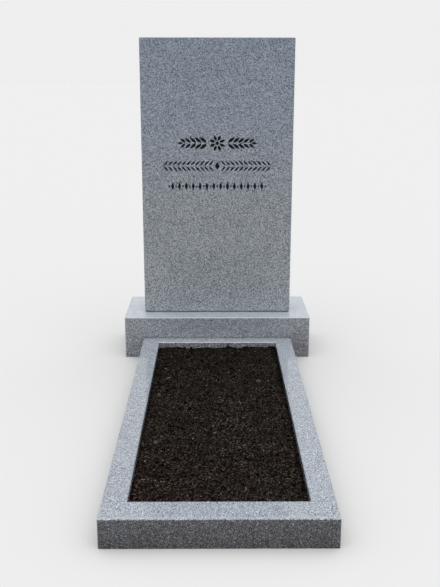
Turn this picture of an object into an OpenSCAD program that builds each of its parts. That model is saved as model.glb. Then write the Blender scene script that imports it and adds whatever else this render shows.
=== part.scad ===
// Upright granite memorial: a slab pinned and bedded on a plinth, with a kerbed bed of soil before it.
// Millimetres. X runs across the slab, Y from the foot of the kerb to the back of the plinth, Z up.
// The origin is on the ground, at the middle of the whole footprint.

/* [Stele] */
// Width of the upright slab
stele_w = 550; // [400:10:640]
// Thickness of the upright slab
stele_t = 120; // [60:5:160]
// Height of the upright slab
stele_h = 1000; // [600:10:1400]
// How far the slab stands behind the front of the plinth
stele_setback = 75; // [30:5:120]
// Chamfer along every edge of the slab
stele_arris = 3; // [1:0.5:8]

/* [Plinth] */
// Width of the plinth
plinth_w = 690; // [660:10:900]
// Depth of the plinth, front to back
plinth_d = 300; // [200:10:400]
// Height of the plinth above the ground
plinth_h = 155; // [120:5:250]
// Chamfer along the plinth's upper and upright edges
plinth_arris = 3; // [1:0.5:8]

/* [Kerb] */
// Width of the kerb, over both side bars
kerb_w = 550; // [400:10:650]
// Length of the kerb, from its foot to its back
kerb_l = 1300; // [800:10:1800]
// Height of the kerb above the ground
kerb_h = 75; // [50:5:115]
// Width of each side bar
side_bar_w = 60; // [40:5:100]
// Width of the bar at the foot, which runs across both side bars
front_bar_w = 80; // [40:5:120]
// Width of the bar against the plinth, which stands between the side bars
back_bar_w = 50; // [40:5:100]
// Chamfer along the free upper edges of the kerb, inside and outside, and along its upright corners
kerb_arris = 2; // [0.5:0.5:5]
// Thickness of the filled seams between the bars, and between the kerb and the plinth
seam_t = 1; // [0.5:0.5:4]
// How far the filling of a seam stays below the faces of the bars
seam_recess = 0.5; // [0.2:0.1:1.5]

/* [Bed and dowels] */
// Thickness of the bed of adhesive between the slab and the plinth
bed_t = 2; // [1:0.5:8]
// How far the bed stays behind the faces of the slab
bed_inset = 6; // [4:1:20]
// Diameter of the two steel dowels
dowel_d = 12; // [8:1:20]
// Length of each dowel
dowel_l = 120; // [60:5:200]
// Distance between the axes of the dowels
dowel_pitch = 300; // [150:10:340]
// Gap between a dowel and the wall of its bore
dowel_gap = 0.5; // [0.2:0.1:0.8]
// Depth of each bore beyond the upper end of its dowel
dowel_headroom = 2; // [1:1:10]

/* [Kerb pins] */
// Diameter of the steel pins that cross the seams of the kerb
pin_d = 8; // [6:1:10]
// Length of each pin
pin_l = 40; // [30:2:50]
// Height of the pins' bores above the ground
pin_height = 38; // [20:1:40]
// Distance of the pins at the foot and at the plinth from the outer sides of the kerb
pin_edge = 15; // [12:1:30]
// Distance of the pins in the back bar from the bed
cross_pin_edge = 16; // [12:1:25]
// Gap between a pin and the wall of its bore
pin_gap = 0.5; // [0.2:0.1:0.8]
// Depth of each bore beyond the end of its pin
pin_headroom = 2; // [1:1:5]

/* [Soil] */
// How far the soil lies below the top of the kerb, along the bars
soil_drop = 20; // [12:1:40]
// How much higher the soil stands in the middle of the bed
soil_crown = 5; // [0:1:8]
// Height of the low heaps that the rake left
soil_relief = 6; // [0:0.5:8]
// Gap between the soil and the bars
soil_gap = 0.3; // [0.1:0.1:0.8]

/* [Hidden] */
$fn = 64;
overrun = 1;

// Places along Y, from the foot of the kerb to the back of the plinth
total_l = kerb_l + seam_t + plinth_d;
foot_y = -total_l / 2;
kerb_back_y = foot_y + kerb_l;
plinth_y = kerb_back_y + seam_t;
plinth_mid_y = plinth_y + plinth_d / 2;
slab_y = plinth_y + stele_setback + stele_t / 2;

// Kerb
inner_w = kerb_w - 2 * side_bar_w;
back_bar_x = inner_w / 2 - seam_t;
bed_front_y = foot_y + front_bar_w;
bed_back_y = kerb_back_y - back_bar_w;

// Pins: the middle of each bore, in the left half for a side of -1 and in the right half for 1
function pin_front_at(side) = [side * (kerb_w / 2 - pin_edge), bed_front_y + seam_t / 2, pin_height];
function pin_back_at(side) = [side * (inner_w / 2 - seam_t / 2), bed_back_y + cross_pin_edge, pin_height];
function pin_plinth_at(side) = [side * (kerb_w / 2 - pin_edge), kerb_back_y + seam_t / 2, pin_height];

// Slab, bed and dowels; half of each dowel, less the bed, stands in each stone
slab_z = plinth_h + bed_t;
bore_d = dowel_d + 2 * dowel_gap;
dowel_seat_z = plinth_h + bed_t / 2 - dowel_l / 2;
dowel_top_z = dowel_seat_z + dowel_l;

// Soil: the ripples are [waves across, waves along, phase in degrees]
soil_w = inner_w - 2 * soil_gap;
soil_l = bed_back_y - bed_front_y - 2 * soil_gap;
soil_y = (bed_front_y + bed_back_y) / 2;
soil_columns = 20;
soil_rows = 54;
ripples = [[1.5, 2.5, 200], [0.5, 12, 40], [2.5, 10, 130], [4, 6, 250], [4.5, -4, 310], [2.5, -10, 70]];

// Colours
polished_granite = [0.62, 0.65, 0.68];
bedding_grey = [0.25, 0.27, 0.30];
mastic_grey = [0.48, 0.50, 0.53];
bare_steel = [0.60, 0.61, 0.63];
dark_soil = [0.13, 0.10, 0.08];

// A face w wide and h high, standing on y = 0, with its top corners cut by top and its foot by foot
module cut_face(w, h, top, foot) {
    lower = foot > 0
        ? [[-w / 2, foot], [-w / 2 + foot, 0], [w / 2 - foot, 0], [w / 2, foot]]
        : [[-w / 2, 0], [w / 2, 0]];
    upper = [[w / 2, h - top], [w / 2 - top, h], [-w / 2 + top, h], [-w / 2, h - top]];
    polygon(concat(lower, upper));
}

// A dressed stone, centred in X and Y and standing on z = 0; its foot edges stay square unless foot is given
module dressed_stone(w, d, h, arris, foot = 0) {
    intersection() {
        linear_extrude(h) translate([0, -d / 2]) cut_face(w, d, arris, arris);
        rotate([90, 0, 0]) linear_extrude(d, center = true) cut_face(w, h, arris, foot);
        rotate([90, 0, 90]) linear_extrude(w, center = true) cut_face(d, h, arris, foot);
    }
}

// Both dowel bores, from z0 up to z1
module bores(z0, z1) {
    for (side = [-1, 1])
        translate([side * dowel_pitch / 2, slab_y, z0]) cylinder(h = z1 - z0, d = bore_d);
}

module stele() {
    color(polished_granite) difference() {
        translate([0, slab_y, slab_z])
            dressed_stone(stele_w, stele_t, stele_h, stele_arris, foot = stele_arris);
        bores(slab_z - overrun, dowel_top_z + dowel_headroom);
    }
}

module stele_bed() {
    color(bedding_grey) difference() {
        translate([0, slab_y, plinth_h + bed_t / 2])
            cube([stele_w - 2 * bed_inset, stele_t - 2 * bed_inset, bed_t], center = true);
        bores(plinth_h - overrun, slab_z + overrun);
    }
}

// One dowel, standing on the floor of its bore in the plinth
module dowel(side) {
    color(bare_steel)
        translate([side * dowel_pitch / 2, slab_y, dowel_seat_z]) cylinder(h = dowel_l, d = dowel_d);
}

// A round bar or bore of diameter d and length l about a place, along Y, or along X where it is a cross one
module level_bar(place, d, l, cross) {
    translate(place) rotate([90, 0, cross ? 90 : 0]) cylinder(h = l, d = d, center = true);
}

// The bores for all pins of the kerb
module pin_bores() {
    d = pin_d + 2 * pin_gap;
    l = pin_l + 2 * pin_headroom;
    for (side = [-1, 1]) {
        level_bar(pin_front_at(side), d, l, false);
        level_bar(pin_back_at(side), d, l, true);
        level_bar(pin_plinth_at(side), d, l, false);
    }
}

// One pin, lying on the floor of its bore
module pin(place, cross = false) {
    color(bare_steel) level_bar(place - [0, 0, pin_gap], pin_d, pin_l, cross);
}

module plinth() {
    color(polished_granite) difference() {
        translate([0, plinth_mid_y, 0]) dressed_stone(plinth_w, plinth_d, plinth_h, plinth_arris);
        bores(dowel_seat_z, plinth_h + overrun);
        pin_bores();
    }
}

// The kerb as one frame, before the seams cut it into bars. It is drawn longer than the kerb, past the
// front of the plinth, so that only its free edges are eased. An inset makes it smaller all round.
module kerb_frame(inset = 0) {
    back_y = plinth_y + 2 * kerb_arris;
    w = kerb_w - 2 * inset;
    l = back_y - foot_y - 2 * inset;
    h = kerb_h - inset;
    difference() {
        translate([0, (foot_y + back_y) / 2, 0]) dressed_stone(w, l, h, kerb_arris);
        translate([0, soil_y, h])
            bed_opening(inner_w + 2 * inset, bed_back_y - bed_front_y + 2 * inset, h + overrun);
    }
}

// The opening for the bed, w by l in plan, which flares through the arris up to z = 0
module bed_opening(w, l, depth) {
    flare = kerb_arris + overrun;
    intersection() {
        rotate([90, 0, 0]) linear_extrude(l + 2 * flare, center = true) flared_slot(w, depth);
        rotate([90, 0, 90]) linear_extrude(w + 2 * flare, center = true) flared_slot(l, depth);
    }
}

// A slot w wide and depth deep, whose mouth opens by the arris on each side and goes on past y = 0
module flared_slot(w, depth) {
    mouth = w / 2 + kerb_arris + overrun;
    polygon([
        [-w / 2, -depth], [w / 2, -depth], [w / 2, -kerb_arris], [mouth, overrun],
        [-mouth, overrun], [-w / 2, -kerb_arris]
    ]);
}

// The stretch of the kerb between two corners in plan, with the bores that reach into it
module kerb_cut(from, to, inset = 0) {
    difference() {
        intersection() {
            kerb_frame(inset);
            translate([from[0], from[1], -overrun])
                cube([to[0] - from[0], to[1] - from[1], kerb_h + 2 * overrun]);
        }
        pin_bores();
    }
}

module kerb_front() {
    color(polished_granite)
        kerb_cut([-kerb_w / 2, foot_y], [kerb_w / 2, bed_front_y]);
}

module kerb_left() {
    color(polished_granite)
        kerb_cut([-kerb_w / 2, bed_front_y + seam_t], [-inner_w / 2, kerb_back_y]);
}

module kerb_right() {
    color(polished_granite)
        kerb_cut([inner_w / 2, bed_front_y + seam_t], [kerb_w / 2, kerb_back_y]);
}

module kerb_back() {
    color(polished_granite)
        kerb_cut([-back_bar_x, bed_back_y], [back_bar_x, kerb_back_y]);
}

// The filling of a seam, between two corners in plan
module seam(from, to) {
    color(mastic_grey) kerb_cut(from, to, seam_recess);
}

module seam_front_left() {
    seam([-kerb_w / 2, bed_front_y], [-inner_w / 2, bed_front_y + seam_t]);
}

module seam_front_right() {
    seam([inner_w / 2, bed_front_y], [kerb_w / 2, bed_front_y + seam_t]);
}

module seam_back_left() {
    seam([-inner_w / 2, bed_back_y], [-back_bar_x, kerb_back_y]);
}

module seam_back_right() {
    seam([back_bar_x, bed_back_y], [inner_w / 2, kerb_back_y]);
}

module seam_plinth() {
    seam([-kerb_w / 2, kerb_back_y], [kerb_w / 2, plinth_y]);
}

// Height of the soil at u across and v along the bed, each from -1 to 1
function ripple(u, v, k = 0) =
    k == len(ripples) ? 0 : sin(180 * (ripples[k] * [u, v, 0]) + ripples[k][2]) + ripple(u, v, k + 1);
function soil_z(u, v) =
    kerb_h - soil_drop
    + soil_crown * (1 - pow(u, 4)) * (1 - pow(v, 8))
    + soil_relief * ripple(u, v) / len(ripples);

// The soil fills the bed down to the ground, as a raked surface over straight sides
module soil_fill() {
    nx = soil_columns;
    ny = soil_rows;
    surface = [
        for (j = [0 : ny], i = [0 : nx])
            let (u = 2 * i / nx - 1, v = 2 * j / ny - 1)
            [u * soil_w / 2, soil_y + v * soil_l / 2, soil_z(u, v)]
    ];
    corners = [
        for (v = [-1, 1], u = [-1, 1]) [u * soil_w / 2, soil_y + v * soil_l / 2, 0]
    ];
    row = nx + 1;
    last = ny * row;
    base = len(surface);
    triangles = [
        for (j = [0 : ny - 1], i = [0 : nx - 1])
            let (a = j * row + i, b = a + 1, c = a + row, d = c + 1)
            each [[a, c, b], [b, c, d]]
    ];
    sides = [
        [base, base + 1, base + 3, base + 2],
        concat([base + 1, base], [for (i = [0 : nx]) i]),
        concat([base + 2, base + 3], [for (i = [nx : -1 : 0]) last + i]),
        concat([base, base + 2], [for (j = [ny : -1 : 0]) j * row]),
        concat([base + 3, base + 1], [for (j = [0 : ny]) j * row + nx])
    ];
    color(dark_soil) polyhedron(concat(surface, corners), concat(triangles, sides));
}

stele();
stele_bed();
dowel(-1);  // dowel_left
dowel(1);  // dowel_right
plinth();
kerb_front();
kerb_left();
kerb_right();
kerb_back();
seam_front_left();
seam_front_right();
seam_back_left();
seam_back_right();
seam_plinth();
pin(pin_front_at(-1));  // pin_front_left
pin(pin_front_at(1));  // pin_front_right
pin(pin_back_at(-1), cross = true);  // pin_back_left
pin(pin_back_at(1), cross = true);  // pin_back_right
pin(pin_plinth_at(-1));  // pin_plinth_left
pin(pin_plinth_at(1));  // pin_plinth_right
soil_fill();
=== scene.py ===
"""Looks of the granite grave monument: polished stones, an engraved ornament, seams and raked soil.

Everything is in metres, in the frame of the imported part: X across the slab, Y from the foot of the kerb to
the back of the plinth, Z up from the ground.
"""

import math

import bmesh
import bpy
import numpy as np
from mathutils import Matrix, Vector
from mathutils.bvhtree import BVHTree

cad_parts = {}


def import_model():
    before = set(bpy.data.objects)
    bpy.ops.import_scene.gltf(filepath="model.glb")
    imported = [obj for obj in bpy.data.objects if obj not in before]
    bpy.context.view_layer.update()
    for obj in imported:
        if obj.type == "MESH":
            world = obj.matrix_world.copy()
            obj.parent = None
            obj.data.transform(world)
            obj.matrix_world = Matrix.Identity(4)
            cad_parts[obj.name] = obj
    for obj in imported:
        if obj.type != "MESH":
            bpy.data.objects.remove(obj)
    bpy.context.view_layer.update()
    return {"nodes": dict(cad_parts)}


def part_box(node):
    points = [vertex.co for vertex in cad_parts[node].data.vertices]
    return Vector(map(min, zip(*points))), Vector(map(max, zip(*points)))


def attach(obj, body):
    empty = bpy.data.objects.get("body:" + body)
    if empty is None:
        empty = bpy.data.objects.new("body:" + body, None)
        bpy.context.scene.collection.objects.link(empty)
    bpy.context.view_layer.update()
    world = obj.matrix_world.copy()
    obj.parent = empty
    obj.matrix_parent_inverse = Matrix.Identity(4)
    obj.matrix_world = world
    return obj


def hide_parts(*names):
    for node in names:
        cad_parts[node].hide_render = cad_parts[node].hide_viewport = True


MM = 0.001
WHITE = (1.0, 1.0, 1.0, 1.0)

# Camera: where it stands, how it is turned, and the photograph's frame
CAMERA_PLACE = Vector((-0.0106, -2.4636, 1.0482))
CAMERA_PITCH = math.radians(15.11)
CAMERA_YAW = math.radians(0.40)
CAMERA_ROLL = math.radians(0.07)
PHOTO_WIDTH, PHOTO_HEIGHT = 440, 587
FOCAL_PIXELS = 829.26
SENSOR_MM = 36.0

# Light: the sky's strength rises from the horizon to the zenith with a power of the height
SKY_ZENITH = 2.50
SKY_HORIZON = 0.72
SKY_POWER = 4.0
BACKDROP = (0.86, 0.86, 0.86, 1.0)
FLOOR_PALE = (0.66, 0.66, 0.66, 1.0)
FLOOR_BOUNCE = (0.19, 0.185, 0.175, 1.0)
FLOOR_REACH = 60.0

# Polished granite of the slab and plinth, and of the kerb. Upright faces are painted darker and crisper near
# the ground, as painted shade, up to a given height; this shade has one tint on faces that look away from
# the middle of the monument and another on those that look inwards. The film of dust on top covers a share
# between the two values of film_range.
SLAB_LOOK = {
    "tint": (0.938, 0.943, 0.955, 1.0),
    "crispness": 0.86,
    "low_shade_top": 140 * MM,
    "low_shade_crispness": 1.5,
    "low_shade_outside": (1.41, 1.34, 1.29, 1.0),
    "low_shade_inside": (1.41, 1.34, 1.29, 1.0),
    "dust": (0.60, 0.67, 0.745, 1.0),
    "film_range": (0.35, 0.55),
}
KERB_LOOK = {
    "crispness": 1.02,
    # Pale arrises, a painted highlight
    "arris_painted_colour": (0.58, 0.61, 0.65, 1.0),
    "arris_painted_share": 0.65,
    "low_shade_top": 300 * MM,
    "low_shade_crispness": 1.7,
    "low_shade_outside": (0.675, 0.581, 0.520, 1.0),
    "low_shade_inside": (1.45, 1.37, 1.33, 1.0),
    "dust": (0.35, 0.385, 0.42, 1.0),
    "film_range": (0.0, 0.42),
}
KERB_TINTS = {
    "front": (0.995, 1.000, 1.028, 1.0),
    "left": (0.925, 0.929, 0.955, 1.0),
    "right": (1.005, 1.010, 1.038, 1.0),
    "back": (1.010, 0.975, 0.975, 1.0),
}

# Engraved ornament: the height of each row's middle above the foot of the slab, and its reach to either side
SPRAY_HEIGHT = 634 * MM
SPRAY_REACH = 146 * MM
GARLAND_HEIGHT = 552 * MM
GARLAND_REACH = 195 * MM
BEADS_HEIGHT = 478 * MM
BEADS_REACH = 176 * MM
ORNAMENT_DEPTH = 2.6 * MM
BEAD_DEPTH = 2.0 * MM
CUTTER_PROUD = 1.5 * MM
LEAF_STEPS = 7

# Soil: the step of its mesh, how much longer its clumps are across the bed than along it, how far loose
# clods stay from the pebbles, chips and straws listed below, and the seed of all that is random
SOIL_STEP = 2.6 * MM
CLUMP_STRETCH = 1.6
CLEAR_REACH = 11 * MM
SEED = 20

# Pebbles, clods, chips and straws where they show in the photograph: column, row and radius or half length
# in mm, and for straws also the turn in degrees from the X axis
PEBBLES_SEEN = (
    (258, 383, 9.0), (159, 397, 7.0), (156, 444, 7.0), (213, 427, 4.5),
)
CLODS_SEEN = (
    (184.5, 348.0, 5.0), (191.5, 348.0, 5.5), (228.0, 347.8, 6.5), (231.0, 348.0, 4.5), (244.0, 347.8, 7.5),
    (247.0, 348.0, 6.0), (269.0, 348.0, 5.5), (271.5, 348.0, 6.0), (273.5, 348.5, 6.0), (254.0, 348.0, 4.0),
    (222.0, 472.0, 8.5), (236.0, 461.0, 5.5),
)
CHIPS_SEEN = (
    (268, 381, 2.2), (272, 379, 1.6), (211, 420, 1.8), (174, 437, 2.2), (193, 439, 1.8), (148, 480, 2.0),
    (155, 481, 1.8), (161, 482, 1.8), (164, 482, 1.8), (168, 463, 1.6), (154, 470, 1.6),
)
STRAWS_SEEN = (
    (168, 379, 16.0, 51), (240, 403, 17.0, -81), (215, 433, 10.0, 54), (143, 480, 7.5, 0),
    (246, 489, 10.0, -80),
)


# Shader graphs


class Graph:
    """Builds a node tree from plain values and sockets."""

    def __init__(self, owner):
        owner.use_nodes = True
        self.tree = owner.node_tree
        self.tree.nodes.clear()

    def add(self, kind, inputs=None, **fields):
        """A new node, with its fields set and its inputs filled."""
        node = self.tree.nodes.new("ShaderNode" + kind)
        for name, value in fields.items():
            setattr(node, name, value)
        for key, value in (inputs or {}).items():
            self.fill(node.inputs[key], value)
        return node

    def fill(self, socket, value):
        if isinstance(value, bpy.types.NodeSocket):
            self.tree.links.new(value, socket)
        else:
            socket.default_value = value

    def math(self, operation, a, b=0.0, c=0.0):
        return self.add("Math", {0: a, 1: b, 2: c}, operation=operation).outputs[0]

    def product(self, a, b):
        return self.math("MULTIPLY", a, b)

    def vector(self, operation, a, b=(0.0, 0.0, 0.0)):
        """A vector, or one value for a distance or a dot product."""
        node = self.add("VectorMath", {0: a, 1: b}, operation=operation)
        one_value = operation in ("DISTANCE", "DOT_PRODUCT")
        return node.outputs["Value" if one_value else "Vector"]

    def axes(self, vector):
        return self.add("SeparateXYZ", {0: vector}).outputs

    def smooth(self, value, low, high):
        """0 at low and 1 at high, with a soft step between. Where low is the larger, it falls instead."""
        inputs = {"Value": value, "From Min": low, "From Max": high}
        return self.add("MapRange", inputs, interpolation_type="SMOOTHSTEP").outputs["Result"]

    def span(self, value, low, high, to_low, to_high):
        """The range from low to high, moved to the one from to_low to to_high and held at its ends."""
        inputs = {"Value": value, "From Min": low, "From Max": high, "To Min": to_low, "To Max": to_high}
        return self.add("MapRange", inputs).outputs["Result"]

    def mix(self, factor, a, b, blend="MIX"):
        node = self.add("Mix", data_type="RGBA", blend_type=blend)
        self.fill(node.inputs[0], factor)
        self.fill(node.inputs[6], a)
        self.fill(node.inputs[7], b)
        return node.outputs[2]

    def tinted(self, colour, tint):
        """The colour times the tint, channel by channel."""
        return self.mix(1.0, colour, tint, blend="MULTIPLY")

    def shaded(self, colour, level):
        """The colour with all its channels times the level."""
        grey = self.add("CombineXYZ", {0: level, 1: level, 2: level}).outputs[0]
        return self.tinted(colour, grey)

    def gamma(self, colour, power):
        return self.add("Gamma", {"Color": colour, "Gamma": power}).outputs[0]

    def ramp(self, factor, stops):
        """A colour ramp; stops are (place, colour)."""
        node = self.add("ValToRGB", {"Fac": factor})
        elements = node.color_ramp.elements
        while len(elements) < len(stops):
            elements.new(0.5)
        for element, (place, colour) in zip(elements, stops):
            element.position = place
            element.color = (*colour, 1.0)
        return node.outputs["Color"]

    def noise(self, vector, per_metre, detail, output="Fac"):
        return self.add("TexNoise", {"Vector": vector, "Scale": per_metre, "Detail": detail}).outputs[output]

    def cells(self, vector, per_metre):
        """Cells with a random colour each, and the distance from the cell's centre."""
        return self.add("TexVoronoi", {"Vector": vector, "Scale": per_metre}).outputs

    def place(self):
        """The point on the object, in metres."""
        return self.add("TexCoord").outputs["Object"]

    def bump(self, height, distance, strength):
        inputs = {"Height": height, "Distance": distance, "Strength": strength}
        return self.add("Bump", inputs).outputs[0]

    def direct(self):
        """1 for what the camera sees, also in reflections and through clear things, and else 0."""
        ray = self.add("LightPath").outputs
        seen = self.math("MAXIMUM", ray["Is Camera Ray"], ray["Is Glossy Ray"])
        return self.math("MAXIMUM", seen, ray["Is Transmission Ray"])

    def finish(self, surface):
        self.add("OutputMaterial", {"Surface": surface})

    def finish_principled(self, inputs):
        self.finish(self.add("BsdfPrincipled", inputs).outputs[0])


def new_material(name):
    material = bpy.data.materials.new(name)
    return material, Graph(material)


# Camera, light and floor


def camera_axes():
    """The camera's forward, right and up."""
    forward = Vector((
        math.sin(CAMERA_YAW) * math.cos(CAMERA_PITCH),
        math.cos(CAMERA_YAW) * math.cos(CAMERA_PITCH),
        -math.sin(CAMERA_PITCH),
    ))
    level_right = Vector((math.cos(CAMERA_YAW), -math.sin(CAMERA_YAW), 0.0))
    level_up = level_right.cross(forward)
    right = math.cos(CAMERA_ROLL) * level_right + math.sin(CAMERA_ROLL) * level_up
    up = math.cos(CAMERA_ROLL) * level_up - math.sin(CAMERA_ROLL) * level_right
    return forward, right, up


def make_camera():
    forward, right, up = camera_axes()
    camera = bpy.data.objects.new("camera", bpy.data.cameras.new("camera"))
    camera.data.sensor_width = SENSOR_MM
    camera.data.lens = SENSOR_MM * FOCAL_PIXELS / max(PHOTO_WIDTH, PHOTO_HEIGHT)
    turn = Matrix((right, up, -forward)).transposed()
    camera.matrix_world = Matrix.Translation(CAMERA_PLACE) @ turn.to_4x4()
    bpy.context.scene.collection.objects.link(camera)
    bpy.context.scene.camera = camera


def make_sky():
    """An overcast sky, brighter overhead. The camera and reflections see a plain pale backdrop instead."""
    world = bpy.data.worlds.new("sky")
    bpy.context.scene.world = world
    graph = Graph(world)
    height = graph.axes(graph.add("TexCoord").outputs["Generated"])["Z"]
    rise = graph.math("POWER", graph.math("MAXIMUM", height, 0.0), SKY_POWER)
    level = graph.span(rise, 0.0, 1.0, SKY_HORIZON, SKY_ZENITH)
    lit = graph.add("Background", {"Color": WHITE, "Strength": level})
    seen = graph.add("Background", {"Color": BACKDROP, "Strength": 1.0})
    mixed = graph.add("MixShader", {0: graph.direct(), 1: lit.outputs[0], 2: seen.outputs[0]})
    graph.add("OutputWorld", {"Surface": mixed.outputs[0]})


def make_floor():
    """A wide, pale floor that throws less light up than it shows."""
    bpy.ops.mesh.primitive_circle_add(vertices=64, radius=FLOOR_REACH, fill_type="NGON")
    floor = bpy.context.object
    floor.name = "floor"
    material, graph = new_material("floor_pale")
    pale = graph.add("BsdfDiffuse", {"Color": FLOOR_PALE})
    bounce = graph.add("BsdfDiffuse", {"Color": FLOOR_BOUNCE})
    mixed = graph.add("MixShader", {0: graph.direct(), 1: bounce.outputs[0], 2: pale.outputs[0]})
    graph.finish(mixed.outputs[0])
    floor.data.materials.append(material)


# Granite


def granite_colour(graph, point, crispness):
    """Light grey granite: grains from mid grey to pale, in clusters that are darker in the middle, dark
    flecks with paler stone round the larger ones, and a faint cloudiness over the whole stone."""
    wobble = graph.noise(point, 520.0, detail=1.0, output="Color")
    wobble = graph.vector("MULTIPLY", graph.vector("SUBTRACT", wobble, (0.5,) * 3), (1.4 * MM,) * 3)
    warped = graph.vector("ADD", point, wobble)
    grain = graph.axes(graph.cells(warped, 620.0)["Color"])["X"]
    colour = graph.ramp(grain, [
        (0.00, (0.125, 0.137, 0.153)),
        (0.10, (0.180, 0.197, 0.219)),
        (0.34, (0.235, 0.256, 0.285)),
        (0.42, (0.365, 0.398, 0.442)),
        (0.70, (0.415, 0.452, 0.502)),
        (0.80, (0.545, 0.593, 0.660)),
        (1.00, (0.625, 0.680, 0.755)),
    ])
    cluster_spacing = 5.8 * MM
    from_middle = graph.cells(warped, 1.0 / cluster_spacing)["Distance"]
    colour = graph.shaded(colour, graph.span(from_middle, 0.20, 0.75, 0.80, 1.15))

    fleck_colour = (0.034, 0.043, 0.060, 1.0)
    for spacing, channel in ((3.1 * MM, "X"), (4.4 * MM, "Y")):
        fleck = graph.cells(warped, 1.0 / spacing)
        chance = graph.axes(fleck["Color"])[channel]
        halo = graph.math("MULTIPLY_ADD", graph.product(chance, chance), 0.32, 0.88)
        colour = graph.shaded(colour, halo)
        inside = graph.math("LESS_THAN", fleck["Distance"], graph.product(chance, 0.45))
        colour = graph.mix(inside, colour, fleck_colour)

    cloud = graph.noise(point, 7.0, detail=3.0)
    colour = graph.tinted(colour, graph.ramp(cloud, [(0.35, (0.98,) * 3), (0.65, (1.02,) * 3)]))
    return graph.gamma(colour, crispness)


def corner_shade_and_dirt(graph, place, colour):
    """Painted shade, with some dirt, in the corner line between the kerb's top and the plinth's front."""
    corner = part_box("kerb_back")[1]
    beside = graph.math("LESS_THAN", graph.math("ABSOLUTE", place["X"]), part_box("kerb_front")[1].x)
    line = graph.add("CombineXYZ", {0: 0.0, 1: place["Y"], 2: place["Z"]}).outputs[0]
    reach = graph.vector("DISTANCE", line, (0.0, corner.y, corner.z))
    close = graph.product(graph.smooth(reach, 11 * MM, 0.0), beside)
    return graph.mix(graph.product(close, 0.27), colour, (0.02, 0.02, 0.02, 1.0))


def painted_edge_highlight(graph, place, colour):
    """A painted highlight: a paler line along the top of the kerb's front edge."""
    low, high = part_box("kerb_front")
    along = graph.smooth(place["Y"], low.y + 13 * MM, low.y + 6 * MM)
    on_top = graph.smooth(place["Z"], high.z - 0.5 * MM, high.z - 0.1 * MM)
    edge_highlight_mask = graph.product(along, on_top)
    return graph.mix(graph.product(edge_highlight_mask, 0.2), colour, (0.56, 0.59, 0.63, 1.0))


def far_end_light_and_right_foot_dark(graph, place, colour):
    """Paler stone towards the kerb's far end, as painted light that lifts the shade from the plinth, and
    darker stone at the plinth's right foot.
    """
    on_plinth = graph.math("GREATER_THAN", place["Y"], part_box("kerb_back")[1].y + 0.5 * MM)
    on_kerb = graph.math("SUBTRACT", 1.0, on_plinth)
    far_end = graph.product(graph.smooth(place["Y"], 120 * MM, 480 * MM), on_kerb)
    colour = graph.mix(far_end, colour, graph.tinted(colour, (1.15, 1.15, 1.14, 1.0)))
    right = graph.smooth(place["X"], 200 * MM, 290 * MM)
    low_right = graph.product(right, graph.smooth(place["Z"], 130 * MM, 70 * MM))
    right_foot_dark = graph.tinted(colour, (0.85, 0.80, 0.82, 1.0))
    return graph.mix(graph.product(on_plinth, low_right), colour, right_foot_dark)


def upright_light_tint(graph, height):
    """Painted light on upright faces by height: none up to the slab's foot, then paler to lift the shade low
    on the slab, and bluer towards the top as a painted sky reflection.
    """
    share = graph.math("DIVIDE", height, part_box("stele")[1].z)
    return graph.ramp(share, [
        (0.136, (1.0, 1.0, 1.0)),
        (0.137, (1.163, 1.173, 1.145)),
        (0.24, (1.22, 1.225, 1.19)),
        (0.33, (1.16, 1.168, 1.15)),
        (0.50, (1.145, 1.155, 1.14)),
        (0.72, (1.060, 1.110, 1.195)),
        (1.00, (0.962, 1.035, 1.155)),
    ])


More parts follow.
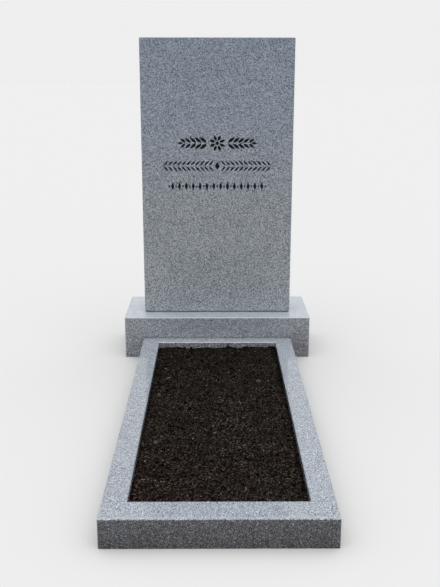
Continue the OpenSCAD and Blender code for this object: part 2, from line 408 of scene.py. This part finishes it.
def granite(name, tint, crispness, arris_painted_colour, arris_painted_share, low_shade_top, low_shade_crispness, low_shade_outside,
            low_shade_inside, dust, film_range, shift=0.0, ior=1.5):
    """Polished granite: honed along its arrises, which carry a painted highlight on the plinth and kerb and
    a painted shade on the slab, dusty on top, with painted light on the slab's upright faces, and painted
    shade near the ground that makes upright faces darker and crisper. The shift moves the grain, so that no
    two stones are alike."""
    material, graph = new_material(name)
    point = graph.place()
    place = graph.axes(point)
    moved = graph.vector("ADD", point, (shift,) * 3)
    colour = graph.tinted(granite_colour(graph, moved, crispness), tint)

    normal = graph.add("NewGeometry").outputs["True Normal"]
    up = graph.axes(normal)["Z"]
    facing = graph.axes(graph.vector("ABSOLUTE", normal))
    upright = graph.smooth(facing["Z"], 0.6, 0.3)
    level_normal = graph.vector("MULTIPLY", normal, (1.0, 1.0, 0.0))
    outside = graph.smooth(graph.vector("DOT_PRODUCT", level_normal, point), -0.05, 0.05)

    # Painted light on the arrises, strongest on the upper ones that look inwards along the monument: a
    # highlight where the colour is pale, a shade where it is dark
    square = graph.math("MAXIMUM", graph.math("MAXIMUM", facing["X"], facing["Y"]), facing["Z"])
    arris = graph.math("LESS_THAN", square, 0.95)
    inward = graph.product(graph.smooth(facing["Y"], 0.3, 0.6), graph.math("SUBTRACT", 1.0, outside))
    edge_lit = graph.product(inward, graph.smooth(up, 0.3, 0.6))
    edge_lit = graph.math("MULTIPLY_ADD", edge_lit, arris_painted_share, 0.1)
    colour = graph.mix(graph.product(arris, edge_lit), colour, arris_painted_colour)

    film = graph.span(graph.noise(point, 30.0, detail=4.0), 0.25, 0.75, *film_range)
    film = graph.product(film, graph.smooth(up, 0.90, 0.98))
    colour = graph.mix(film, colour, dust)
    # Painted light on upright faces: paler low on the slab, and bluer towards the top as a painted sky
    # reflection
    colour = graph.mix(upright, colour, graph.tinted(colour, upright_light_tint(graph, place["Z"])))

    # Painted shade near the ground: upright faces darker and crisper, with one tint outward and another
    # inward
    ragged = 50 * MM
    ragged = graph.math("MULTIPLY_ADD", graph.noise(point, 22.0, detail=4.0), ragged, -0.5 * ragged)
    low_shade = graph.smooth(graph.math("ADD", place["Z"], ragged), low_shade_top, 0.0)
    low_shade_tint = graph.mix(outside, low_shade_inside, low_shade_outside)
    low_shade_colour = graph.tinted(graph.gamma(colour, low_shade_crispness), low_shade_tint)
    colour = graph.mix(graph.product(low_shade, upright), colour, low_shade_colour)
    # Painted shade in the corner line, a painted highlight on the kerb's front edge, painted light at its
    # far end, and a darker right foot of the plinth
    for wear in (corner_shade_and_dirt, painted_edge_highlight, far_end_light_and_right_foot_dark):
        colour = wear(graph, place, colour)

    dull = graph.smooth(graph.noise(point, 160.0, detail=2.0), 0.2, 0.8)
    roughness = graph.math("MULTIPLY_ADD", dull, 0.05, 0.07)
    roughness = graph.math("MAXIMUM", roughness, graph.product(arris, 0.38))
    graph.finish_principled({"Base Color": colour, "Roughness": roughness, "IOR": ior})
    return material


# Other materials of the stones


def filler(name, dark, pale):
    """Set stone adhesive or mastic: matte, slightly mottled and pitted."""
    material, graph = new_material(name)
    mottle = graph.noise(graph.place(), 260.0, detail=4.0)
    graph.finish_principled({
        "Base Color": graph.ramp(mottle, [(0.3, dark), (0.7, pale)]),
        "Roughness": 0.72,
        "Normal": graph.bump(mottle, distance=0.4 * MM, strength=0.5),
    })
    return material


def steel():
    """Plain drawn bar: fine marks and a little rust bloom."""
    material, graph = new_material("dowel_steel")
    point = graph.place()
    along = graph.add("Mapping", {"Vector": point, "Scale": (1.0, 1.0, 0.03)}).outputs[0]
    marks = graph.noise(along, 2400.0, detail=3.0)
    rust = graph.smooth(graph.noise(point, 120.0, detail=4.0), 0.55, 0.75)
    colour = graph.ramp(marks, [(0.3, (0.42, 0.42, 0.43)), (0.7, (0.62, 0.62, 0.63))])
    graph.finish_principled({
        "Base Color": graph.mix(graph.product(rust, 0.5), colour, (0.30, 0.14, 0.07, 1.0)),
        "Metallic": 1.0,
        "Roughness": graph.ramp(rust, [(0.0, (0.32,) * 3), (1.0, (0.75,) * 3)]),
    })
    return material


def engraving_paint():
    """Near-black paint in the cuts, thin enough to show some grain."""
    material, graph = new_material("engraving_paint")
    grain = graph.noise(graph.place(), 900.0, detail=3.0)
    graph.finish_principled({
        "Base Color": graph.ramp(grain, [(0.35, (0.003, 0.004, 0.006)), (0.75, (0.022, 0.025, 0.030))]),
        "Roughness": 0.60,
        "Specular IOR Level": 0.10,
    })
    return material


def dress_stones(nodes):
    """Gives each stone, bed, seam, dowel and pin its material, and carves the slab."""
    bar = steel()
    finishes = {
        # The slab's arrises are painted dark as painted shade; those of the plinth are painted pale as a
        # painted highlight
        "stele": granite(
            "stele_granite", arris_painted_colour=(0.10, 0.107, 0.117, 1.0), arris_painted_share=0.5, ior=1.42, **SLAB_LOOK
        ),
        "plinth": granite(
            "plinth_granite", arris_painted_colour=(0.56, 0.59, 0.62, 1.0), arris_painted_share=0.8, shift=1.3, **SLAB_LOOK
        ),
        "stele_bed": filler("bedding_adhesive", (0.008, 0.009, 0.011), (0.022, 0.024, 0.028)),
        "seam": filler("seam_mastic", (0.25, 0.265, 0.285), (0.35, 0.37, 0.40)),
        "dowel": bar,
        "pin": bar,
    }
    for shift, (side, tint) in enumerate(KERB_TINTS.items(), start=2):
        finishes["kerb_" + side] = granite(f"kerb_{side}_granite", tint, shift=shift, **KERB_LOOK)
    for name, node in nodes.items():
        finish = finishes.get(name) or finishes.get(name.split("_")[0])
        if finish:
            node.data.materials.clear()
            node.data.materials.append(finish)
    carve_stele(nodes["stele"], finishes["stele"], engraving_paint())


# The engraved ornament


def turned(points, origin, angle):
    """The points, turned and moved to the origin."""
    cos, sin = math.cos(angle), math.sin(angle)
    return [(origin[0] + cos * x - sin * z, origin[1] + sin * x + cos * z) for x, z in points]


def leaf(origin, angle, length, width):
    """A pointed leaf from origin, deepest along its middle, as (outline, spine). The outline is a list of
    (x, z) on the slab's face. The spine has an (x, z, depth) for each of them, where the wall that starts
    there ends."""
    along = [i / LEAF_STEPS for i in range(LEAF_STEPS + 1)]
    half = [0.5 * width * math.sin(math.pi * t ** 0.85) for t in along]
    upper = [(length * t, h) for t, h in zip(along, half)]
    lower = [(length * t, -h) for t, h in zip(along[1:-1], half[1:-1])][::-1]
    middle = [(length * t, 0.0) for t in along]
    deep = [ORNAMENT_DEPTH * math.sin(math.pi * t) for t in along]
    outline = turned(upper + lower, origin, angle)
    ridge = turned(middle + middle[1:-1][::-1], origin, angle)
    depths = deep + deep[1:-1][::-1]
    return outline, [(x, z, depth) for (x, z), depth in zip(ridge, depths)]


def pit(origin, radius_x, radius_z, sides, depth=ORNAMENT_DEPTH):
    """A mark whose walls all run down to one point: a bead with many sides, or a lozenge with four. It is
    given as a leaf is."""
    turns = [math.tau * i / sides for i in range(sides)]
    outline = [(origin[0] + radius_x * math.cos(a), origin[1] + radius_z * math.sin(a)) for a in turns]
    return outline, [(*origin, depth)] * sides


def spray():
    """A rosette between two branches of leaves, which get smaller towards their tips."""
    marks = [pit((0.0, 0.0), radius_x=6.5 * MM, radius_z=6.5 * MM, sides=16)]
    petals = 8
    petal_start = 9.0 * MM
    for i in range(petals):
        angle = math.tau * (i + 0.5) / petals
        start = (petal_start * math.cos(angle), petal_start * math.sin(angle))
        marks.append(leaf(start, angle, length=22.0 * MM, width=10.8 * MM))

    pairs = 5
    spread = math.radians(38)
    for side in (1, -1):
        heading = 0.0 if side == 1 else math.pi
        for k in range(pairs):
            t = k / pairs
            x = side * (38.0 * MM + t * (SPRAY_REACH - 50.0 * MM))
            length = (34.0 - 12.0 * t) * MM
            width = (11.4 - 3.0 * t) * MM
            for up in (1, -1):
                marks.append(leaf((x, up * 1.8 * MM), heading + side * up * spread, length, width))
        tip_length = 22.0 * MM
        tip = side * (SPRAY_REACH - tip_length)
        marks.append(leaf((tip, 0.0), heading, tip_length, width=8.0 * MM))
    return marks


def garland():
    """A running chain of leaf pairs that points to a lozenge in the middle."""
    marks = [pit((0.0, 0.0), radius_x=9.0 * MM, radius_z=15.0 * MM, sides=4)]
    pairs = 11
    inner = 14.0 * MM
    spread = math.radians(46)
    for side in (1, -1):
        heading = math.pi if side == 1 else 0.0
        for k in range(pairs):
            x = side * (inner + (k + 1) * (GARLAND_REACH - inner) / pairs)
            for up in (1, -1):
                angle = heading - side * up * spread
                marks.append(leaf((x, up * 1.5 * MM), angle, length=26.0 * MM, width=6.3 * MM))
    return marks


def lozenges_and_beads():
    """Tall lozenges with a small round bead between neighbours."""
    count = 14
    pitch = 2 * BEADS_REACH / count
    marks = []
    for i in range(count):
        x = -BEADS_REACH + (i + 0.5) * pitch
        marks.append(pit((x, 0.0), radius_x=5.9 * MM, radius_z=16.0 * MM, sides=4))
    for i in range(count + 1):
        x = -BEADS_REACH + i * pitch
        marks.append(pit((x, 0.0), radius_x=3.3 * MM, radius_z=3.3 * MM, sides=12, depth=BEAD_DEPTH))
    return marks


def cutter_mesh(marks, middle, face_y):
    """A row's marks as closed solids that stand proud of the face at face_y and run into the stone. middle
    is the height of the row's middle."""
    least_depth = 1e-6
    shape = bmesh.new()
    for outline, spine in marks:
        front = [shape.verts.new((x, face_y - CUTTER_PROUD, middle + z)) for x, z in outline]
        rim = [shape.verts.new((x, face_y, middle + z)) for x, z in outline]
        floor = {}
        for x, z, depth in dict.fromkeys(spine):
            deep = depth >= least_depth
            floor[x, z, depth] = shape.verts.new((x, face_y + depth, middle + z)) if deep else None
        shape.faces.new(front)
        count = len(outline)
        for i in range(count):
            j = (i + 1) % count
            shape.faces.new((front[i], rim[i], rim[j], front[j]))
            ends = [v for v in (floor[spine[i]], floor[spine[j]]) if v is not None]
            corners = [rim[i], *dict.fromkeys(ends), rim[j]]
            if len(corners) > 2:
                shape.faces.new(corners)
    bmesh.ops.recalc_face_normals(shape, faces=shape.faces)
    mesh = bpy.data.meshes.new("engraving_cutter")
    shape.to_mesh(mesh)
    shape.free()
    return mesh


def engrave(slab, marks, middle, face_y, paint):
    """Cuts one row of marks into the slab. The walls of the cuts take the paint."""
    cutter = bpy.data.objects.new("cutter", cutter_mesh(marks, middle, face_y))
    cutter.data.materials.append(paint)
    bpy.context.scene.collection.objects.link(cutter)
    cut = slab.modifiers.new("engrave", "BOOLEAN")
    cut.operation = "DIFFERENCE"
    cut.solver = "EXACT"
    cut.material_mode = "TRANSFER"
    cut.object = cutter
    evaluated = slab.evaluated_get(bpy.context.evaluated_depsgraph_get())
    mesh = bpy.data.meshes.new_from_object(evaluated)
    slab.modifiers.clear()
    slab.data = mesh
    bpy.data.objects.remove(cutter)


def carve_stele(node, stone, paint):
    """The slab with the three rows of ornament cut into its front face and painted dark."""
    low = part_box("stele")[0]
    slab = bpy.data.objects.new("stele_carved", node.data.copy())
    slab.data.materials.clear()
    slab.data.materials.append(stone)
    slab.data.materials.append(paint)
    bpy.context.scene.collection.objects.link(slab)
    rows = (
        (spray(), SPRAY_HEIGHT),
        (garland(), GARLAND_HEIGHT),
        (lozenges_and_beads(), BEADS_HEIGHT),
    )
    for marks, height in rows:
        engrave(slab, marks, low.z + height, low.y, paint)
    slab.data.name = "stele_carved"
    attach(slab, "root")
    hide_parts("stele")


# Soil and what lies on it


def soil_material():
    """Dark, moist garden soil: crumbs of uneven darkness with painted shade in the gaps between them and a
    few dry, pale ones, in patches that are calmer or rougher. It is drier towards the front, ruddier in
    patches and at the near left, and painted darker along the side bars and the front bar, as painted shade."""
    material, graph = new_material("dark_soil")
    point = graph.place()
    bend = graph.noise(point, 90.0, detail=2.0, output="Color")
    point = graph.vector("ADD", point, graph.vector("MULTIPLY", bend, (6 * MM,) * 3))
    place = graph.axes(point)

    crumb = graph.cells(point, 200.0)
    grain = graph.cells(point, 330.0)
    level = graph.math("MULTIPLY_ADD", graph.axes(crumb["Color"])["X"], 0.26, -0.44)
    level = graph.math("MULTIPLY_ADD", graph.axes(grain["Color"])["Y"], 0.62, level)
    rough = graph.span(graph.noise(point, 14.0, detail=2.0), 0.35, 0.65, 0.6, 1.4)
    level = graph.math("MULTIPLY_ADD", level, rough, 0.5)
    colour = graph.ramp(level, [
        (0.12, (0.0023, 0.0020, 0.0017)),
        (0.45, (0.0155, 0.0131, 0.0108)),
        (0.72, (0.0483, 0.0414, 0.0345)),
        (0.92, (0.0897, 0.0771, 0.0656)),
        (1.00, (0.1495, 0.1323, 0.1150)),
    ])

    drier = graph.smooth(place["Y"], 450 * MM, -200 * MM)
    colour = graph.tinted(colour, graph.mix(drier, (0.94, 0.94, 0.93, 1.0), (1.15, 1.14, 1.14, 1.0)))
    patch = graph.smooth(graph.noise(point, 6.0, detail=3.0), 0.50, 0.70)
    left = graph.smooth(place["X"], 100 * MM, -180 * MM)
    near_left = graph.product(left, graph.smooth(place["Y"], -200 * MM, -600 * MM))
    ruddy = graph.math("MAXIMUM", graph.product(patch, 0.5), near_left)
    colour = graph.tinted(colour, graph.mix(ruddy, WHITE, (1.08, 0.90, 0.92, 1.0)))

    low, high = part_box("soil_fill")
    # Painted shade along the side bars and the front bar
    at_sides = graph.smooth(graph.math("ABSOLUTE", place["X"]), high.x - 15 * MM, high.x)
    at_front = graph.smooth(place["Y"], low.y + 12 * MM, low.y + 3 * MM)
    bar_shade = graph.math("MAXIMUM", at_sides, at_front)
    colour = graph.tinted(colour, graph.mix(bar_shade, WHITE, (0.64, 0.64, 0.66, 1.0)))

    # Painted shade in the gaps between crumbs, which also serves as the bump's height
    gap_shade_and_bump = graph.math("MULTIPLY_ADD", graph.smooth(crumb["Distance"], 0.66, 0.40), 0.78, 0.22)
    graph.finish_principled({
        "Base Color": graph.shaded(colour, gap_shade_and_bump),
        "Roughness": 0.95,
        "Specular IOR Level": 0.0,
        "Normal": graph.bump(gap_shade_and_bump, distance=2 * MM, strength=0.7),
    })
    return material


def bits_material(name, dark, pale):
    """Pebbles, straw and chips: mottled between two colours, a little different for each piece."""
    material, graph = new_material(name)
    point = graph.place()
    own = graph.noise(point, 25.0, detail=1.0)
    fine = graph.noise(point, 500.0, detail=3.0)
    level = graph.math("MULTIPLY_ADD", own, 0.6, graph.product(fine, 0.4))
    graph.finish_principled({
        "Base Color": graph.ramp(level, [(0.35, dark), (0.65, pale)]),
        "Roughness": 0.85,
        "Specular IOR Level": 0.1,
        "Normal": graph.bump(fine, distance=0.6 * MM, strength=0.6),
    })
    return material


def hashed(a, b, seed):
    """A repeatable value from 0 to 1 for each pair of whole numbers. The factors only have to be large and
    unrelated."""
    value = np.sin(a * 127.1 + b * 311.7 + seed * 74.7) * 43758.5453
    return value - np.floor(value)


def waves(x, y, scale, seed):
    """Smooth value noise, from -1 to 1."""
    u, v = x / scale, y / scale
    i, j = np.floor(u), np.floor(v)
    s, t = u - i, v - j
    s, t = s * s * (3 - 2 * s), t * t * (3 - 2 * t)
    low = hashed(i, j, seed) * (1 - s) + hashed(i + 1, j, seed) * s
    high = hashed(i, j + 1, seed) * (1 - s) + hashed(i + 1, j + 1, seed) * s
    return 2 * (low * (1 - t) + high * t) - 1


def crumbs(x, y, spacing, seed):
    """Height of rounded crumbs at the points x, y, as a share of the spacing: that of the tallest of the
    jittered domes nearby."""
    column, row = np.floor(x / spacing), np.floor(y / spacing)
    best = np.zeros_like(x)
    for dx in (-1, 0, 1):
        for dy in (-1, 0, 1):
            cell_x, cell_y = column + dx, row + dy
            jitter = [hashed(cell_x, cell_y, seed + k) for k in range(3)]
            middle_x = (cell_x + 0.15 + 0.7 * jitter[0]) * spacing
            middle_y = (cell_y + 0.15 + 0.7 * jitter[1]) * spacing
            radius = spacing * (0.35 + 0.45 * jitter[2])
            reach = 1 - ((x - middle_x) ** 2 + (y - middle_y) ** 2) / radius ** 2
            best = np.maximum(best, np.sqrt(np.clip(reach, 0, None)) * radius / spacing)
    return best


def soil_relief(x, y, back):
    """Height that clumps, with creases between them, and crumbs add to the raked surface. The clumps are
    higher in some patches than in others, and low near the far edge at y = back. The whole is let down, so
    that on average it lies about 1 mm under the height of the packed soil."""
    calm = np.clip((back - y) / (40 * MM), 0.25, 1.0)
    rough = 1.0 + 0.5 * waves(x, y, 55 * MM, 5)
    bend = 4 * MM
    bent_x = (x + bend * waves(x, y, 19 * MM, 7)) / CLUMP_STRETCH
    bent_y = y + bend * waves(x, y, 23 * MM, 8)
    large = 4.2 * np.abs(waves(bent_x, bent_y, 26 * MM, 2))
    small = 2.6 * np.abs(waves(bent_x, bent_y, 13 * MM, 3))
    clumps = large + small
    loose = 2.0 * crumbs(x, y, 7.6 * MM, 21) + 2.4 * crumbs(x, y, 5.4 * MM, 31)
    let_down = 4.9
    return MM * (calm * rough * clumps + loose - let_down + 0.9 * (1 - calm))


class SoilSurface:
    """The raked surface of the packed soil, and the relief on it."""

    def __init__(self, node):
        self.tree = BVHTree.FromPolygons(
            [v.co for v in node.data.vertices], [p.vertices for p in node.data.polygons]
        )
        self.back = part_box("soil_fill")[1].y

    def base(self, x, y):
        """The height of the packed soil, found by a ray straight down from well above it."""
        hit = self.tree.ray_cast(Vector((x, y, 1.0)), Vector((0.0, 0.0, -1.0)))
        return hit[0].z

    def height(self, x, y):
        return self.base(x, y) + float(soil_relief(np.array([x]), np.array([y]), self.back)[0])

    def seen(self, column, row):
        """The point of the soil that shows at a pixel of the photograph. The line of sight is followed down
        in short steps, from a little above the soil, and ends before the bar at the back."""
        start_height = 7 * MM
        back_margin = 4 * MM
        forward, right, up = camera_axes()
        ray = FOCAL_PIXELS * forward + (column - PHOTO_WIDTH / 2) * right + (PHOTO_HEIGHT / 2 - row) * up
        drop = self.base(0.0, 0.0) + start_height - CAMERA_PLACE.z
        point = CAMERA_PLACE + ray * (drop / ray.z)
        step = 0.7 * MM * ray.normalized()
        while point.y < self.back - back_margin and point.z > self.height(point.x, point.y):
            point += step
        return point


def new_object(name, verts, faces, material):
    """An object in the scene with one mesh of one material."""
    mesh = bpy.data.meshes.new(name)
    mesh.from_pydata(verts, [], faces)
    mesh.materials.append(material)
    piece = bpy.data.objects.new(name, mesh)
    bpy.context.scene.collection.objects.link(piece)
    return piece


def make_soil(surface, material):
    """The soil as a closed mesh with a fine crumbly surface, down to the ground."""
    low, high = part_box("soil_fill")
    columns = round((high.x - low.x) / SOIL_STEP)
    rows = round((high.y - low.y) / SOIL_STEP)
    margin = 1e-5
    xs = np.linspace(low.x + margin, high.x - margin, columns + 1)
    ys = np.linspace(low.y + margin, high.y - margin, rows + 1)
    relief = soil_relief(*np.meshgrid(xs, ys), surface.back)
    verts = [
        (xs[i], ys[j], surface.base(xs[i], ys[j]) + relief[j, i])
        for j in range(rows + 1) for i in range(columns + 1)
    ]
    across = columns + 1
    faces = [
        (j * across + i, j * across + i + 1, (j + 1) * across + i + 1, (j + 1) * across + i)
        for j in range(rows) for i in range(columns)
    ]
    rim = (
        list(range(across))
        + [j * across + columns for j in range(1, rows + 1)]
        + [rows * across + i for i in range(columns - 1, -1, -1)]
        + [j * across for j in range(rows - 1, 0, -1)]
    )
    foot = len(verts)
    count = len(rim)
    verts += [(verts[r][0], verts[r][1], low.z) for r in rim]
    faces += [(rim[(k + 1) % count], rim[k], foot + k, foot + (k + 1) % count) for k in range(count)]
    faces.append(tuple(foot + k for k in range(count - 1, -1, -1)))
    soil = new_object("soil_raked", verts, faces, material)
    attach(soil, "root")
    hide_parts("soil_fill")


def lump_shapes(count, level, rough, rng):
    """A few icospheres of a radius of about 1, swollen in places and roughened, as (vertices, faces)."""
    swellings = 5
    shapes = []
    for _ in range(count):
        ball = bmesh.new()
        bmesh.ops.create_icosphere(ball, subdivisions=level, radius=1.0)
        verts = np.array([v.co for v in ball.verts])
        faces = np.array([[v.index for v in f.verts] for f in ball.faces])
        ball.free()
        ways = rng.normal(size=(swellings, 3))
        swell = sum(np.clip(verts @ (way / np.linalg.norm(way)), 0, None)[:, None] ** 3 for way in ways)
        verts = verts * (0.85 + 0.16 * swell + rng.normal(scale=rough, size=(len(verts), 1)))
        shapes.append((verts, faces))
    return shapes


def scatter(name, shapes, places, material):
    """One joined mesh of the shapes at the places. A place is (x, y, z, (half sizes), turn about z)."""
    all_verts, all_faces, offset = [], [], 0
    for k, (x, y, z, size, turn) in enumerate(places):
        verts, faces = shapes[k % len(shapes)]
        cos, sin = math.cos(turn), math.sin(turn)
        spin = np.array([[cos, sin, 0], [-sin, cos, 0], [0, 0, 1]])
        all_verts.append((verts * size) @ spin + (x, y, z))
        all_faces.append(faces + offset)
        offset += len(verts)
    verts = np.concatenate(all_verts).tolist()
    faces = np.concatenate(all_faces).tolist()
    piece = new_object(name, verts, faces, material)
    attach(piece, "root")


def soil_places(surface, count, smallest, largest, flat, sunk, rng, clear=()):
    """Random places on the soil for lumps, kept inside the bars and off the points that stay clear. flat is
    their height as a share of their width, and sunk is the share of it that is under the surface."""
    low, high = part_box("soil_fill")
    places = []
    for _ in range(count):
        size = smallest + (largest - smallest) * rng.random() ** 2.8
        x = rng.uniform(low.x + size, high.x - size)
        y = rng.uniform(low.y + size, high.y - size)
        z = surface.height(x, y) + size * flat * (1 - 2 * sunk)
        stretch = (size * rng.uniform(0.8, 1.1), size * rng.uniform(0.7, 1.0), size * flat)
        turn = rng.uniform(0, math.tau)
        if all(math.hypot(x - point.x, y - point.y) > size + CLEAR_REACH for point in clear):
            places.append((x, y, z, stretch, turn))
    return places


def back_edge_places(surface, count, rng):
    """Places for small lumps that make the far edge of the soil ragged."""
    low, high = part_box("soil_fill")
    band_mm = 10.0
    places = []
    for _ in range(count):
        size = (1.2 + 3.2 * rng.random() ** 2) * MM
        x = rng.uniform(low.x + size, high.x - size)
        y = high.y - size - rng.uniform(0.0, band_mm) * MM
        z = surface.height(x, y) - 0.1 * size
        places.append((x, y, z, (size, 0.9 * size, 0.8 * size), rng.uniform(0, math.tau)))
    return places


def seen_lumps(surface, seen, flat):
    """Lumps at the places where they show in the photograph, kept off the bar at the back."""
    places = []
    for column, row, radius in seen:
        point = surface.seen(column, row)
        size = radius * MM
        y = min(point.y, surface.back - size)
        z = surface.height(point.x, y) + size * flat * 0.6
        places.append((point.x, y, z, (size, 0.85 * size, flat * size), 0.0))
    return places


def seen_straws(surface, seen):
    """Straws at the places where they show in the photograph, each just above the highest crest under it."""
    places = []
    for column, row, half_length, turn in seen:
        point = surface.seen(column, row)
        length = half_length * MM
        angle = math.radians(turn)
        along = [share * length for share in (-0.8, -0.4, 0.0, 0.4, 0.8)]
        crests = [
            surface.height(point.x + reach * math.cos(angle), point.y + reach * math.sin(angle))
            for reach in along
        ]
        z = max(crests) + 0.5 * MM
        places.append((point.x, point.y, z, (length, 1.2 * MM, 0.8 * MM), angle))
    return places


def soil_bits(surface, count, rng):
    """Random places on the soil for thin straws and chips that lie flat."""
    low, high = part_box("soil_fill")
    places = []
    for _ in range(count):
        length = 1.6 * MM + 6.5 * MM * rng.random() ** 3
        thick = rng.uniform(0.7, 1.2) * MM
        x = rng.uniform(low.x + length, high.x - length)
        y = rng.uniform(low.y + length, high.y - length)
        z = surface.height(x, y) + 0.6 * MM
        places.append((x, y, z, (length, thick, 0.6 * thick), rng.uniform(0, math.tau)))
    return places


def dress_soil(nodes):
    """The raked soil with its clods, pebbles, chips and bits of straw."""
    rng = np.random.default_rng(SEED)
    earth = soil_material()
    surface = SoilSurface(nodes["soil_fill"])
    make_soil(surface, earth)

    clear = [surface.seen(column, row) for column, row, *_ in PEBBLES_SEEN + CHIPS_SEEN + STRAWS_SEEN]
    clods = soil_places(
        surface, count=1000, smallest=2.5 * MM, largest=9 * MM, flat=0.8, sunk=0.3, rng=rng, clear=clear
    )
    clods += back_edge_places(surface, count=130, rng=rng)
    clods += seen_lumps(surface, CLODS_SEEN, flat=0.85)
    clod_shapes = lump_shapes(count=10, level=2, rough=0.05, rng=rng)
    scatter("soil_clods", clod_shapes, clods, earth)

    pebbles = soil_places(surface, count=7, smallest=3 * MM, largest=6 * MM, flat=0.7, sunk=0.3, rng=rng)
    pebbles += seen_lumps(surface, PEBBLES_SEEN, flat=0.90)
    pebble_shapes = lump_shapes(count=6, level=3, rough=0.01, rng=rng)
    stone_grey = bits_material("soil_pebble", dark=(0.046, 0.042, 0.037), pale=(0.084, 0.077, 0.068))
    scatter("soil_pebbles", pebble_shapes, pebbles, stone_grey)

    straws = soil_bits(surface, count=70, rng=rng)
    straws += seen_lumps(surface, CHIPS_SEEN, flat=0.8)
    straws += seen_straws(surface, STRAWS_SEEN)
    straw_shapes = lump_shapes(count=6, level=1, rough=0.04, rng=rng)
    straw_pale = bits_material("soil_straw", dark=(0.09, 0.078, 0.062), pale=(0.40, 0.365, 0.31))
    scatter("soil_straw_bits", straw_shapes, straws, straw_pale)


def main():
    bpy.context.scene.view_settings.view_transform = "Standard"
    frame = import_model()
    nodes = frame["nodes"]
    make_camera()
    make_sky()
    make_floor()
    dress_stones(nodes)
    dress_soil(nodes)


main()
